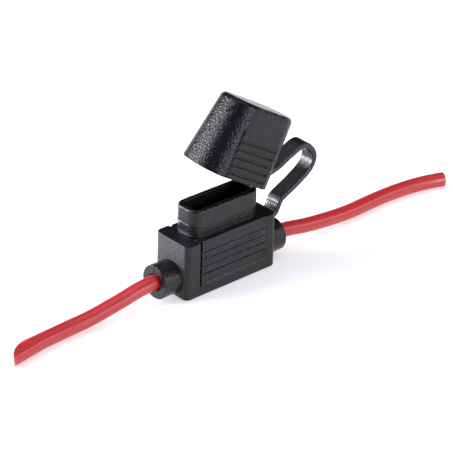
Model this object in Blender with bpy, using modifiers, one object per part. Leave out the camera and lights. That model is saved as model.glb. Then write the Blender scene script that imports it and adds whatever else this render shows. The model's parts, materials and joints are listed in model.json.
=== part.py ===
"""Inline holder for a flat blade fuse, on two insulated leads, with its cap swung open on a strap.

X runs along the leads, Y across the body and Z up. The origin is the middle of the body's underside,
which rests on the bench with both leads. All sizes below are in millimetres.
"""
import math

import bmesh
import bpy
from mathutils import Matrix, Vector

MM = 0.001

# Air left between pieces that touch
SEAT_GAP = 0.3
# How far a piece or a cutter runs past the face that it joins or cuts
OVERRUN = 1.0

# Standard blade fuse that the holder takes
FUSE_LENGTH = 19.1
FUSE_THICKNESS = 5.1
FUSE_PLAY = 0.25
BLADE_PITCH = 13.2
BLADE_THICKNESS = 0.65

# Body
BODY_LENGTH = 30.0
BODY_WIDTH = 12.2
BODY_HEIGHT = 15.2
BODY_DRAFT = 0.2
BODY_CORNER = 1.4
BODY_BASE_EDGE = 0.8
BODY_TOP_EDGE = 0.15

# Neck around the fuse pocket, with its sealing bead and the plinth that it stands on
NECK_HEIGHT = 7.4
NECK_END_WALL = 1.05
NECK_SIDE_WALL = 1.35
NECK_CORNER = 3.0
NECK_DRAFT = 0.15
NECK_RIM_EDGE = 0.2
POCKET_DEPTH = 5.6
POCKET_CORNER = 0.7
BEAD_HEIGHT = 3.1
BEAD_STEP = 0.25
PLINTH_HEIGHT = 0.7
PLINTH_STEP = 0.3

# Round bosses that the leads come out of, through a hole that fits the insulation
BOSS_RADIUS = 4.45
BOSS_LENGTH = 5.2
BOSS_EDGE = 0.35

# Leads and the bare strands at their ends
LEAD_RADIUS = 1.95
LEAD_HEIGHT = 5.1
LEAD_STEP = 4.0
CONDUCTOR_RADIUS = 1.15

# Folded sheet terminals
SHEET = 0.45
CONTACT_WIDTH = 6.2
CONTACT_DEPTH = 2.3
CONTACT_HEIGHT = 7.4
CONTACT_SLOT = 0.8
CONTACT_BELOW_SEAT = 0.6
CRIMP_LENGTH = 3.2
CRIMP_SEAM = 0.5
TAB_HEIGHT = 1.8
TAB_JOG = 0.6

# Chambers below the pocket, one for each terminal
CHAMBER_PLAY = 0.4
CHAMBER_FOOT = 2.4

# Finger grips: saw-toothed grooves, cut deepest under each lip
GRIP_DEPTH = 0.55
GRIP_LIP_INSET = 0.08
GRIP_CORNER = 0.7
BODY_GRIP_LENGTH = 22.0
BODY_GRIP_FOOT = 3.35
BODY_GRIP_LAND = 2.75
BODY_GRIP_PITCH = 2.03
CAP_GRIP_LENGTH = 14.0
CAP_GRIP_FOOT = 1.5
CAP_GRIP_PITCH = 2.0
CAP_GRIP_COUNT = 5
CAP_GRIP_RAMP = 0.7

# Cap, measured closed on the neck
CAP_END_WALL = 1.1
CAP_SIDE_WALL = 2.2
CAP_HEIGHT = 18.2
CAP_CORNER = 6.2
CAP_LENGTH_DRAFT = 1.3
CAP_WIDTH_DRAFT = 1.3
CAP_CORNER_DRAFT = 0.6
CAP_TOP_EDGE = 1.2
CAP_TOP_WALL = 1.6
CAP_END_CLEARANCE = 0.5
CAP_SIDE_CLEARANCE = 0.8
CAVITY_CORNER = 4.0
CAVITY_DRAFT = 0.8

# Line that the strap bends about, past the body's end and above its top, and how far the cap is open
HINGE_REACH = 9.6
HINGE_RISE = 2.7
HINGE_LEAN = 7.0
OPEN_ANGLE = 30.7

# Strap between the body and the cap
STRAP_WIDTH = 4.4
STRAP_THICKNESS = 1.0
STRAP_EDGE = 0.2
STRAP_STEP = 1.2
STRAP_ABOVE_BOSS = 0.85
STRAP_CAP_HEIGHT = 1.6

# Curves: segments in a quarter turn
CORNER_STEPS = 6
EDGE_STEPS = 3
ROUND_SIDES = 32
# Least flat length kept between two rounded corners
CORNER_FLAT = 0.1

# Worked out from the sizes above
POCKET_LENGTH = FUSE_LENGTH + 2 * FUSE_PLAY
POCKET_WIDTH = FUSE_THICKNESS + 2 * FUSE_PLAY
NECK_LENGTH = POCKET_LENGTH + 2 * NECK_END_WALL
NECK_WIDTH = POCKET_WIDTH + 2 * NECK_SIDE_WALL
NECK_TOP = BODY_HEIGHT + NECK_HEIGHT
FUSE_SEAT = NECK_TOP - POCKET_DEPTH
BEAD_LENGTH = NECK_LENGTH + 2 * NECK_DRAFT
BEAD_WIDTH = NECK_WIDTH + 2 * NECK_DRAFT
BODY_END = BODY_LENGTH / 2
BOSS_END = BODY_END + BOSS_LENGTH
BORE_RADIUS = LEAD_RADIUS + SEAT_GAP
CRIMP_RADIUS = CONDUCTOR_RADIUS + SEAT_GAP + SHEET
CRIMP_START = BLADE_PITCH / 2 + CONTACT_WIDTH / 2 + SHEET / 2
CRIMP_END = CRIMP_START + CRIMP_LENGTH
LEAD_START = CRIMP_END + SEAT_GAP
CHAMBER_X = BLADE_PITCH / 2
CHAMBER_LENGTH = CONTACT_WIDTH + 2 * CHAMBER_PLAY
CHAMBER_WIDTH = 2 * (CRIMP_RADIUS + CHAMBER_PLAY)
CAP_RIM = BODY_HEIGHT + SEAT_GAP
CAP_TOP = CAP_RIM + CAP_HEIGHT
CAVITY_LENGTH = BEAD_LENGTH + 2 * CAP_END_CLEARANCE
CAVITY_WIDTH = BEAD_WIDTH + 2 * CAP_SIDE_CLEARANCE
CAP_LENGTH = CAVITY_LENGTH + 2 * CAP_END_WALL
CAP_WIDTH = CAVITY_WIDTH + 2 * CAP_SIDE_WALL
STRAP_ROOT_HEIGHT = LEAD_HEIGHT + BOSS_RADIUS + STRAP_ABOVE_BOSS + STRAP_THICKNESS / 2
HINGE = Vector((BODY_END + HINGE_REACH, 0.0, BODY_HEIGHT + HINGE_RISE))
HINGE_AXIS = Vector((math.sin(math.radians(HINGE_LEAN)), math.cos(math.radians(HINGE_LEAN)), 0.0))
CAP_SWING = Matrix.Rotation(math.radians(OPEN_ANGLE), 4, HINGE_AXIS)

# Routes of the leads, in millimetres, along the axis of each one. Both lie on the bench past the droop.
LEAD_REST = LEAD_RADIUS + 0.01
LEFT_ROUTE = (
    (-LEAD_START, 0.0, LEAD_HEIGHT),
    (-17.0, 0.0, LEAD_HEIGHT),
    (-20.5, 0.05, LEAD_HEIGHT),
    (-25.0, 0.25, 4.6),
    (-29.5, 0.3, 3.75),
    (-34.5, 0.3, 3.0),
    (-40.0, 0.3, 2.3),
    (-46.0, 0.4, LEAD_REST),
    (-53.0, 0.0, LEAD_REST),
    (-59.0, -0.5, LEAD_REST),
    (-63.6, -1.5, LEAD_REST),
)
RIGHT_ROUTE = (
    (LEAD_START, 0.0, LEAD_HEIGHT),
    (17.0, 0.0, LEAD_HEIGHT),
    (20.5, 0.0, 5.05),
    (25.0, 0.0, 4.6),
    (29.5, 0.0, 3.75),
    (34.0, 0.0, 3.1),
    (38.5, 0.0, 2.65),
    (43.0, 0.1, 2.2),
    (48.0, 0.2, LEAD_REST),
    (54.5, 0.45, LEAD_REST),
    (61.0, 0.6, LEAD_REST),
    (67.0, 0.3, LEAD_REST),
    (72.0, -0.3, LEAD_REST),
    (76.5, -1.3, LEAD_REST),
    (80.8, -2.7, LEAD_REST),
)
# Middle of the strap's loop, past the body's end and above its top, from the body over to the cap
STRAP_LOOP = (
    (2.9, -3.2),
    (5.2, 0.2),
    (10.4, 3.0),
    (14.8, 6.0),
    (15.8, 9.7),
    (12.5, 13.0),
    (7.9, 11.7),
    (3.3, 9.6),
)


def scaled(point):
    """A point given in millimetres, in metres."""
    return Vector(point) * MM


def collection(name):
    group = bpy.data.collections.new(name)
    bpy.context.scene.collection.children.link(group)
    return group


def plastic(name, colour, roughness, metallic=0.0):
    material = bpy.data.materials.new(name)
    material.use_nodes = True
    shader = material.node_tree.nodes["Principled BSDF"]
    shader.inputs["Base Color"].default_value = (*colour, 1.0)
    shader.inputs["Roughness"].default_value = roughness
    shader.inputs["Metallic"].default_value = metallic
    return material


def add_object(name, mesh, group, material=None):
    """Put a mesh in a collection as a named object, shaded smooth between its sharp edges."""
    mesh.shade_smooth()
    mesh.set_sharp_from_angle(angle=math.radians(35))
    thing = bpy.data.objects.new(name, mesh)
    group.objects.link(thing)
    if material:
        mesh.materials.append(material)
    return thing


def mesh_from(shape, name):
    bmesh.ops.recalc_face_normals(shape, faces=shape.faces)
    mesh = bpy.data.meshes.new(name)
    shape.to_mesh(mesh)
    shape.free()
    return mesh


def rounded_rectangle(length, width, corner, height):
    """Outline in the XY plane at a height, anticlockwise, with every corner an arc."""
    corner = min(corner, (min(length, width) - CORNER_FLAT) / 2)
    outline = []
    for turn, (along, across) in enumerate(((1, 1), (-1, 1), (-1, -1), (1, -1))):
        middle_x = along * (length / 2 - corner)
        middle_y = across * (width / 2 - corner)
        for step in range(CORNER_STEPS + 1):
            angle = math.radians(90 * (turn + step / CORNER_STEPS))
            x = middle_x + corner * math.cos(angle)
            y = middle_y + corner * math.sin(angle)
            outline.append((x, y, height))
    return outline


def loft(name, sections):
    """Closed solid through outlines that all have the same number of points."""
    shape = bmesh.new()
    rings = [[shape.verts.new(scaled(point)) for point in section] for section in sections]
    for lower, upper in zip(rings, rings[1:]):
        for i in range(len(lower)):
            j = (i + 1) % len(lower)
            shape.faces.new((lower[i], lower[j], upper[j], upper[i]))
    shape.faces.new(list(reversed(rings[0])))
    shape.faces.new(rings[-1])
    return mesh_from(shape, name)


def box(name, low, high):
    shape = bmesh.new()
    size = [b - a for a, b in zip(low, high)]
    middle = [(a + b) / 2 for a, b in zip(low, high)]
    place = Matrix.Translation(scaled(middle)) @ Matrix.Diagonal((*scaled(size), 1.0))
    bmesh.ops.create_cube(shape, size=1.0, matrix=place)
    return mesh_from(shape, name)


def rod(name, radius, start, end, edge=0.0):
    """Round bar on the axis of the leads, with its far edge rounded where an edge radius is given."""
    shape = bmesh.new()
    middle = scaled(((start + end) / 2, 0, LEAD_HEIGHT))
    place = Matrix.Translation(middle) @ Matrix.Rotation(math.radians(90), 4, "Y")
    bmesh.ops.create_cone(
        shape,
        cap_ends=True,
        segments=ROUND_SIDES,
        radius1=radius * MM,
        radius2=radius * MM,
        depth=abs(end - start) * MM,
        matrix=place,
    )
    if edge:
        rim = [e for e in shape.edges if all(abs(v.co.x - end * MM) < 1e-6 for v in e.verts)]
        bmesh.ops.bevel(shape, geom=rim, offset=edge * MM, segments=EDGE_STEPS, profile=0.5, affect="EDGES")
    return mesh_from(shape, name)


def prism_x(name, outline, length, foot_corner=0.0):
    """Solid with an outline in Y and Z, run along X. Its lowest corners can be rounded seen along Y."""
    shape = bmesh.new()
    face = shape.faces.new([shape.verts.new(scaled((-length / 2, y, z))) for y, z in outline])
    grown = bmesh.ops.extrude_face_region(shape, geom=[face])
    moved = [item for item in grown["geom"] if isinstance(item, bmesh.types.BMVert)]
    bmesh.ops.translate(shape, verts=moved, vec=scaled((length, 0, 0)))
    if foot_corner:
        foot = min(z for y, z in outline) * MM
        ends = [e for e in shape.edges if abs(e.verts[0].co.x - e.verts[1].co.x) < 1e-6]
        corners = [e for e in ends if all(v.co.z - foot < 1e-6 for v in e.verts)]
        bmesh.ops.bevel(
            shape, geom=corners, offset=foot_corner * MM, segments=CORNER_STEPS, profile=0.5, affect="EDGES"
        )
    return mesh_from(shape, name)


def boolean(target, tool, operation):
    """Join a tool to an object or cut it away, and keep the tool as a hidden guide."""
    step = target.modifiers.new(f"{operation.lower()} {tool.name}", "BOOLEAN")
    step.operation = operation
    step.solver = "EXACT"
    step.object = tool
    tool.hide_render = True
    tool.display_type = "WIRE"


def smooth_route(points, spacing):
    """Points about a spacing apart on a smooth curve through the points of a route."""
    knots = [Vector(point) for point in points]
    knots = [2 * knots[0] - knots[1], *knots, 2 * knots[-1] - knots[-2]]
    route = [knots[1]]
    for before, start, end, after in zip(knots, knots[1:], knots[2:], knots[3:]):
        count = max(1, round((end - start).length / spacing))
        for step in range(1, count + 1):
            t = step / count
            route.append(
                0.5
                * (
                    2 * start
                    + (end - before) * t
                    + (2 * before - 5 * start + 4 * end - after) * t**2
                    + (3 * start - before - 3 * end + after) * t**3
                )
            )
    return route


def body_block():
    """Plain block of the body, slightly narrower at the top, with rounded corners and base."""
    shape = bmesh.new()
    size = Matrix.Diagonal((BODY_LENGTH * MM, BODY_WIDTH * MM, BODY_HEIGHT * MM, 1.0))
    place = Matrix.Translation(scaled((0, 0, BODY_HEIGHT / 2)))
    bmesh.ops.create_cube(shape, size=1.0, matrix=place @ size)
    for vert in shape.verts:
        if vert.co.z > BODY_HEIGHT * MM / 2:
            vert.co.x -= math.copysign(BODY_DRAFT * MM, vert.co.x)
    upright = [e for e in shape.edges if abs(e.verts[0].co.z - e.verts[1].co.z) > BODY_HEIGHT * MM / 2]
    bmesh.ops.bevel(
        shape, geom=upright, offset=BODY_CORNER * MM, segments=CORNER_STEPS, profile=0.5, affect="EDGES"
    )
    base = [e for e in shape.edges if all(v.co.z < MM * 0.01 for v in e.verts)]
    bmesh.ops.bevel(
        shape, geom=base, offset=BODY_BASE_EDGE * MM, segments=EDGE_STEPS, profile=0.5, affect="EDGES"
    )
    top = [e for e in shape.edges if all(v.co.z > (BODY_HEIGHT - 0.01) * MM for v in e.verts)]
    bmesh.ops.bevel(shape, geom=top, offset=BODY_TOP_EDGE * MM, segments=1, affect="EDGES")
    return mesh_from(shape, "body block")


def neck_section(shrink, height):
    return rounded_rectangle(BEAD_LENGTH - 2 * shrink, BEAD_WIDTH - 2 * shrink, NECK_CORNER - shrink, height)


def neck():
    """Neck on its plinth, set in under the bead and drawn in a little towards the rim."""
    plinth_top = BODY_HEIGHT + PLINTH_HEIGHT
    bead = BODY_HEIGHT + BEAD_HEIGHT
    return loft(
        "neck",
        (
            neck_section(0.0, BODY_HEIGHT - OVERRUN),
            neck_section(0.0, plinth_top - PLINTH_STEP / 2),
            neck_section(PLINTH_STEP, plinth_top),
            neck_section(BEAD_STEP, bead - BEAD_STEP),
            neck_section(0.0, bead),
            neck_section(NECK_DRAFT, NECK_TOP - NECK_RIM_EDGE),
            neck_section(NECK_DRAFT + NECK_RIM_EDGE, NECK_TOP),
        ),
    )


def body_grip_outline(side):
    """Saw teeth up one face of the body: each is flush at its lip and deepest under the next lip."""
    face = side * BODY_WIDTH / 2
    outside = face + side * OVERRUN
    floor = face - side * GRIP_DEPTH
    lip = face - side * GRIP_LIP_INSET
    outline = [(outside, BODY_GRIP_FOOT), (floor, BODY_GRIP_FOOT)]
    height = BODY_GRIP_FOOT + BODY_GRIP_LAND
    while height < BODY_HEIGHT - BODY_GRIP_PITCH / 2:
        outline += [(floor, height), (lip, height)]
        height += BODY_GRIP_PITCH
    top = BODY_HEIGHT + OVERRUN
    return outline + [(floor, BODY_HEIGHT), (floor, top), (outside, top)]


def make_housing(parts, guides, material):
    """Body, neck and bosses in one moulding, with the pocket, the chambers and the cable bores."""
    housing = add_object("housing", body_block(), parts, material)
    boolean(housing, add_object("neck", neck(), guides), "UNION")
    for name, side in (("left", -1), ("right", 1)):
        boss = rod(f"{name} boss", BOSS_RADIUS, side * CHAMBER_X, side * BOSS_END, BOSS_EDGE)
        boolean(housing, add_object(f"{name} boss", boss, guides), "UNION")
    pocket = loft(
        "fuse pocket",
        [
            rounded_rectangle(POCKET_LENGTH, POCKET_WIDTH, POCKET_CORNER, height)
            for height in (FUSE_SEAT, NECK_TOP + OVERRUN)
        ],
    )
    boolean(housing, add_object("fuse pocket", pocket, guides), "DIFFERENCE")
    for name, side in (("left", -1), ("right", 1)):
        middle = side * CHAMBER_X
        chamber = box(
            f"{name} chamber",
            (middle - CHAMBER_LENGTH / 2, -CHAMBER_WIDTH / 2, CHAMBER_FOOT),
            (middle + CHAMBER_LENGTH / 2, CHAMBER_WIDTH / 2, FUSE_SEAT + OVERRUN),
        )
        boolean(housing, add_object(f"{name} chamber", chamber, guides), "DIFFERENCE")
        bore = rod(f"{name} bore", BORE_RADIUS, middle, side * (BOSS_END + OVERRUN))
        boolean(housing, add_object(f"{name} bore", bore, guides), "DIFFERENCE")
    for name, side in (("front", -1), ("back", 1)):
        grip = prism_x(f"{name} grip", body_grip_outline(side), BODY_GRIP_LENGTH, GRIP_CORNER)
        boolean(housing, add_object(f"{name} grip", grip, guides), "DIFFERENCE")
    return housing


def cap_section(share, shrink=0.0):
    """Outline of the cap's outside, at a share of its height, drawn in by a shrink."""
    return rounded_rectangle(
        CAP_LENGTH - 2 * (CAP_LENGTH_DRAFT * share + shrink),
        CAP_WIDTH - 2 * (CAP_WIDTH_DRAFT * share + shrink),
        CAP_CORNER - CAP_CORNER_DRAFT * share - shrink,
        CAP_RIM + CAP_HEIGHT * share,
    )


def cap_outside():
    sections = [cap_section(0.0), cap_section(1.0 - CAP_TOP_EDGE / CAP_HEIGHT)]
    for step in range(1, EDGE_STEPS + 2):
        angle = math.radians(90 * step / (EDGE_STEPS + 1))
        rise = CAP_TOP_EDGE * (1 - math.sin(angle))
        sections.append(cap_section(1.0 - rise / CAP_HEIGHT, CAP_TOP_EDGE * (1 - math.cos(angle))))
    return loft("cap outside", sections)


def cap_cavity():
    depth = CAP_HEIGHT - CAP_TOP_WALL
    sections = []
    for share, height in ((-OVERRUN / depth, CAP_RIM - OVERRUN), (1.0, CAP_RIM + depth)):
        draw = CAVITY_DRAFT * share
        sections.append(
            rounded_rectangle(
                CAVITY_LENGTH - 2 * draw, CAVITY_WIDTH - 2 * draw, CAVITY_CORNER - draw / 2, height
            )
        )
    return loft("cap cavity", sections)


def cap_grip_outline(side):
    """Saw teeth up one face of the cap, following its draft and running out in a ramp at the top."""

    def face(height, depth):
        return side * (CAP_WIDTH / 2 - CAP_WIDTH_DRAFT * (height / CAP_HEIGHT) - depth), CAP_RIM + height

    def deep(height):
        return face(height, GRIP_DEPTH)

    def lip(height):
        return face(height, GRIP_LIP_INSET)

    outline = [lip(CAP_GRIP_FOOT - CAP_GRIP_PITCH)]
    for tooth in range(CAP_GRIP_COUNT):
        height = CAP_GRIP_FOOT + tooth * CAP_GRIP_PITCH
        outline += [deep(height), lip(height)]
    top = CAP_GRIP_FOOT + CAP_GRIP_COUNT * CAP_GRIP_PITCH
    outline += [deep(top), face(top + CAP_GRIP_RAMP, -OVERRUN / 2)]
    return outline + [face(CAP_GRIP_FOOT - CAP_GRIP_PITCH, -OVERRUN / 2)]


def make_cap(parts, guides, material):
    """Cap modelled closed, in the hinge's frame, then swung open with the empty that carries it."""
    pivot = bpy.data.objects.new("cap_hinge", None)
    pivot.empty_display_size = 0.01
    pivot.location = scaled(HINGE)
    pivot.rotation_euler = CAP_SWING.to_euler()
    parts.objects.link(pivot)
    to_hinge = Matrix.Translation(-scaled(HINGE))

    def carried(name, mesh, group, finish=None):
        mesh.transform(to_hinge)
        piece = add_object(name, mesh, group, finish)
        piece.parent = pivot
        return piece

    cap = carried("cap", cap_outside(), parts, material)
    boolean(cap, carried("cap cavity", cap_cavity(), guides), "DIFFERENCE")
    for name, side in (("front", -1), ("back", 1)):
        grip = prism_x(f"cap {name} grip", cap_grip_outline(side), CAP_GRIP_LENGTH)
        boolean(cap, carried(f"cap {name} grip", grip, guides), "DIFFERENCE")
    return cap


def strap_ends():
    """Middle of the strap's two ends: clear of the body's end face, and of the open cap's end."""
    body_face = BODY_END - BODY_DRAFT * STRAP_ROOT_HEIGHT / BODY_HEIGHT
    root = Vector((body_face + SEAT_GAP, 0, STRAP_ROOT_HEIGHT))
    cap_face = CAP_LENGTH / 2 - CAP_LENGTH_DRAFT * STRAP_CAP_HEIGHT / CAP_HEIGHT
    closed = Vector((cap_face + SEAT_GAP, 0, CAP_RIM + STRAP_CAP_HEIGHT))
    return root, HINGE + CAP_SWING @ (closed - HINGE)


def make_strap(parts, material):
    """Flat band along the loop, turned evenly from the body's width line to the leaning cap's."""
    root, tip = strap_ends()
    loop = [root, *(Vector((BODY_END + x, 0, BODY_HEIGHT + z)) for x, z in STRAP_LOOP), tip]
    route = smooth_route(loop, STRAP_STEP)
    shape = bmesh.new()
    rows = []
    for i, middle in enumerate(route):
        turn = Matrix.Rotation(math.radians(OPEN_ANGLE) * i / (len(route) - 1), 4, HINGE_AXIS)
        half = turn @ Vector((0, STRAP_WIDTH / 2, 0))
        rows.append([shape.verts.new(scaled(middle - half)), shape.verts.new(scaled(middle + half))])
    for (a, b), (c, d) in zip(rows, rows[1:]):
        shape.faces.new((a, b, d, c))
    strap = add_object("strap", mesh_from(shape, "strap"), parts, material)
    skin = strap.modifiers.new("thickness", "SOLIDIFY")
    skin.thickness = STRAP_THICKNESS * MM
    skin.offset = 0.0
    rim = strap.modifiers.new("soft edges", "BEVEL")
    rim.width = STRAP_EDGE * MM
    rim.segments = 2
    rim.limit_method = "ANGLE"
    rim.angle_limit = math.radians(60)
    return strap


def make_lead(name, route, parts, material):
    """Insulated lead as a round tube along its route."""
    curve = bpy.data.curves.new(name, "CURVE")
    curve.dimensions = "3D"
    curve.bevel_depth = LEAD_RADIUS * MM
    curve.bevel_resolution = 4
    curve.use_fill_caps = True
    points = smooth_route(route, LEAD_STEP)
    spline = curve.splines.new("POLY")
    spline.points.add(len(points) - 1)
    for knot, point in zip(spline.points, points):
        knot.co = (*scaled(point), 1.0)
    lead = bpy.data.objects.new(name, curve)
    parts.objects.link(lead)
    curve.materials.append(material)
    return lead


def make_conductor(name, side, parts, material):
    """Bundle of bare strands along the crimp."""
    strands = rod(name, CONDUCTOR_RADIUS, side * CRIMP_END, side * CRIMP_START)
    return add_object(name, strands, parts, material)


def folded(name, path, run, group):
    """Sheet whose middle follows a path, run out sideways from it."""
    shape = bmesh.new()
    near = [shape.verts.new(scaled(point)) for point in path]
    far = [shape.verts.new(scaled(Vector(point) + Vector(run))) for point in path]
    for a, b, c, d in zip(near, near[1:], far[1:], far):
        shape.faces.new((a, b, c, d))
    piece = add_object(name, mesh_from(shape, name), group)
    skin = piece.modifiers.new("sheet", "SOLIDIFY")
    skin.thickness = SHEET * MM
    skin.offset = 0.0
    return piece


def contact_path(middle, back):
    """Sheet's middle line seen from above: a flat back, and two wings rolled over to face the slot."""
    half = CONTACT_WIDTH / 2 - SHEET / 2
    roll = CONTACT_DEPTH / 2 - SHEET / 2
    path = []
    for side in (-1, 1):
        wing = []
        for step in range(CORNER_STEPS + 1):
            angle = math.radians(180 * step / CORNER_STEPS)
            x = half - roll + roll * math.sin(angle)
            wing.append((middle + side * x, back + roll - roll * math.cos(angle)))
        wing.append((middle + side * CONTACT_SLOT / 2, back + 1.6 * roll))
        path += wing if side > 0 else list(reversed(wing))
    return path


def make_terminal(name, side, parts, guides, material):
    """Receptacle for one fuse blade, its stem, and the crimp round the bare strands."""
    middle = side * CHAMBER_X
    back = -(BLADE_THICKNESS + SHEET) / 2
    top = FUSE_SEAT - CONTACT_BELOW_SEAT
    foot = top - CONTACT_HEIGHT
    outline = [(x, y, foot) for x, y in contact_path(middle, back)]
    terminal = folded(name, outline, (0, 0, CONTACT_HEIGHT), parts)
    terminal.data.materials.append(material)
    half_stem = CONTACT_WIDTH / 2 - SHEET
    stem = box(
        f"{name} stem",
        (middle - half_stem, back - SHEET / 2, CHAMBER_FOOT + CHAMBER_PLAY),
        (middle + half_stem, back + SHEET / 2, foot + OVERRUN),
    )
    boolean(terminal, add_object(f"{name} stem", stem, guides), "UNION")
    ring_middle = CRIMP_RADIUS - SHEET / 2
    jog_end = CRIMP_START
    jog = (
        (jog_end - TAB_JOG - OVERRUN, back),
        (jog_end - TAB_JOG, back),
        (jog_end, -ring_middle),
        (jog_end + SHEET, -ring_middle),
    )
    low = LEAD_HEIGHT - TAB_HEIGHT / 2
    tab = folded(f"{name} tab", [(side * x, y, low) for x, y in jog], (0, 0, TAB_HEIGHT), guides)
    boolean(terminal, tab, "UNION")
    ring = []
    seam = math.asin(CRIMP_SEAM / 2 / ring_middle)
    for step in range(ROUND_SIDES + 1):
        angle = seam + (2 * math.pi - 2 * seam) * step / ROUND_SIDES
        height = LEAD_HEIGHT + ring_middle * math.sin(angle)
        ring.append((side * CRIMP_START, ring_middle * math.cos(angle), height))
    crimp = folded(f"{name} crimp", ring, (side * CRIMP_LENGTH, 0, 0), guides)
    boolean(terminal, crimp, "UNION")
    return terminal


def main():
    for leftover in list(bpy.data.objects):
        bpy.data.objects.remove(leftover, do_unlink=True)
    parts = collection("inline fuse holder")
    guides = collection("cutters")
    black = plastic("black moulded plastic", (0.012, 0.012, 0.013), 0.45)
    red = plastic("red insulation", (0.62, 0.03, 0.03), 0.4)
    copper = plastic("bare copper strands", (0.72, 0.33, 0.18), 0.35, 1.0)
    tin = plastic("tinned brass sheet", (0.72, 0.7, 0.64), 0.3, 1.0)
    make_housing(parts, guides, black)
    make_cap(parts, guides, black)
    make_strap(parts, black)
    for name, side, route in (("left", -1, LEFT_ROUTE), ("right", 1, RIGHT_ROUTE)):
        make_lead(f"lead_{name}", route, parts, red)
        make_conductor(f"conductor_{name}", side, parts, copper)
        make_terminal(f"terminal_{name}", side, parts, guides, tin)


main()
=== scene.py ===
# %% [markdown]
# # An inline fuse holder, dressed for its portrait
#
# This holder is a black moulding that takes a blade fuse in a car's wiring. A red lead leaves each end, and
# the cap hangs open on a strap that is moulded in one with both. The solid parts come from the frame, which
# says where everything is. This lesson gives them the surface and the light of the real thing. Lengths are
# written in millimetres and turned into metres by MM, and heights are above the bench.

# %% Frame and units
import json
import math

import bmesh
import bpy
from mathutils import Matrix, Vector


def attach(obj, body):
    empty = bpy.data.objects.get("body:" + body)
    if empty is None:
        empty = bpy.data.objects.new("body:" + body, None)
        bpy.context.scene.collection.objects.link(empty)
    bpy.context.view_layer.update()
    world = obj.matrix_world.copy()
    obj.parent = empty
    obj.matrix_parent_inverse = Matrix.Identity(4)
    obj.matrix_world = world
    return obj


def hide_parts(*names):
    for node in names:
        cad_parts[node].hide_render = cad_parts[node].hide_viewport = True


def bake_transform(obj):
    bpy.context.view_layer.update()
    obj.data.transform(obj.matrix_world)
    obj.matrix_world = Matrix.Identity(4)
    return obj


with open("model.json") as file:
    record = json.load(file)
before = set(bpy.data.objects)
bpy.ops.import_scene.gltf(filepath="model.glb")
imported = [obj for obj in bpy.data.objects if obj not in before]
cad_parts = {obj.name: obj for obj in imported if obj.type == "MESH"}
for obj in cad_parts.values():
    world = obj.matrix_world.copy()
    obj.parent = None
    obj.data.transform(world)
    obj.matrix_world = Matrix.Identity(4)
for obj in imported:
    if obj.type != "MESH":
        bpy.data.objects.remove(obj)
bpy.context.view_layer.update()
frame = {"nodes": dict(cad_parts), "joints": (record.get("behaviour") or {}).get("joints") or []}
MM = 0.001
scene = bpy.context.scene
scene.view_settings.view_transform = "Standard"

# %% [markdown]
# ## The camera
#
# The photo was taken with a long lens from the front left, a little above the bench. A long lens keeps the
# sides of the block almost parallel. A camera could be aimed by eye, but this one was found by fitting the
# block's corners, so the model and the photo can be laid over each other. Its three axes are worked out
# from two angles and a small roll.

# %% Camera
CAMERA_TURN = math.radians(42.81)
CAMERA_RISE = math.radians(28.34)
CAMERA_ROLL = math.radians(1.69)
CAMERA_DISTANCE = 528.0
LOOK_AT = Vector((3.38, 0.08, 12.55))
FOCAL_LENGTH = 168.26
SENSOR_WIDTH = 36.0
NEAREST_SEEN = 10.0

flat = math.cos(CAMERA_RISE)
back = Vector((-math.sin(CAMERA_TURN) * flat, -math.cos(CAMERA_TURN) * flat, math.sin(CAMERA_RISE)))
level_right = Vector((math.cos(CAMERA_TURN), -math.sin(CAMERA_TURN), 0.0))
level_up = back.cross(level_right)
right = level_right * math.cos(CAMERA_ROLL) + level_up * math.sin(CAMERA_ROLL)
up = level_up * math.cos(CAMERA_ROLL) - level_right * math.sin(CAMERA_ROLL)
lens = bpy.data.cameras.new("photo camera")
lens.lens = FOCAL_LENGTH
lens.sensor_width = SENSOR_WIDTH
lens.clip_start = NEAREST_SEEN * MM
camera = bpy.data.objects.new("photo camera", lens)
axes = Matrix((right, up, back)).transposed().to_4x4()
camera.matrix_world = Matrix.Translation((LOOK_AT + back * CAMERA_DISTANCE) * MM) @ axes
scene.collection.objects.link(camera)
scene.camera = camera
print("camera at", [round(value, 3) for value in camera.location])

# %% [markdown]
# ## Helpers for colours and nodes
#
# Paint and plastic colours are written in sRGB, and light adds up in linear values, so one function
# turns a hex value into the other. Another adds a shader node with its settings and links. Node trees could
# be wired by hand in the editor, but in a script every value stays in sight.


# %% Colour and node helpers
def linear(hex_colour):
    """sRGB hex colour as linear red, green, blue and alpha."""
    channels = [int(hex_colour[i : i + 2], 16) / 255 for i in (1, 3, 5)]
    return [c / 12.92 if c <= 0.04045 else ((c + 0.055) / 1.055) ** 2.4 for c in channels] + [1.0]


def add_node(tree, kind, settings=None, inputs=None):
    """Node of a kind, with its settings, and inputs that are values or sockets of other nodes."""
    node = tree.nodes.new(kind)
    for name, value in (settings or {}).items():
        setattr(node, name, value)
    for name, value in (inputs or {}).items():
        if isinstance(value, bpy.types.NodeSocket):
            tree.links.new(value, node.inputs[name])
        else:
            node.inputs[name].default_value = value
    return node


def new_material(name):
    """Empty material, with its node tree and its output node."""
    material = bpy.data.materials.new(name)
    material.use_nodes = True
    tree = material.node_tree
    tree.nodes.clear()
    output = tree.nodes.new("ShaderNodeOutputMaterial")
    return material, tree, output


print("middle grey #808080 is", round(linear("#808080")[0], 3), "in linear light")

# %% [markdown]
# ## Helpers for solids
#
# A tapered moulding could be pushed and pulled out of a cube. Here it is a loft instead: outlines stacked
# one above the other and skinned, so that every size in it has a name. Boolean steps then join the lofts or
# cut one out of another, as the steel of the moulding tool does.

# %% Solid helpers
RING_SIDES = 64


def object_from(shape, name, material):
    """Object made of a finished shape, placed in the scene with its material."""
    mesh = bpy.data.meshes.new(name)
    shape.to_mesh(mesh)
    shape.free()
    mesh.materials.append(material)
    piece = bpy.data.objects.new(name, mesh)
    scene.collection.objects.link(piece)
    return piece


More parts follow.
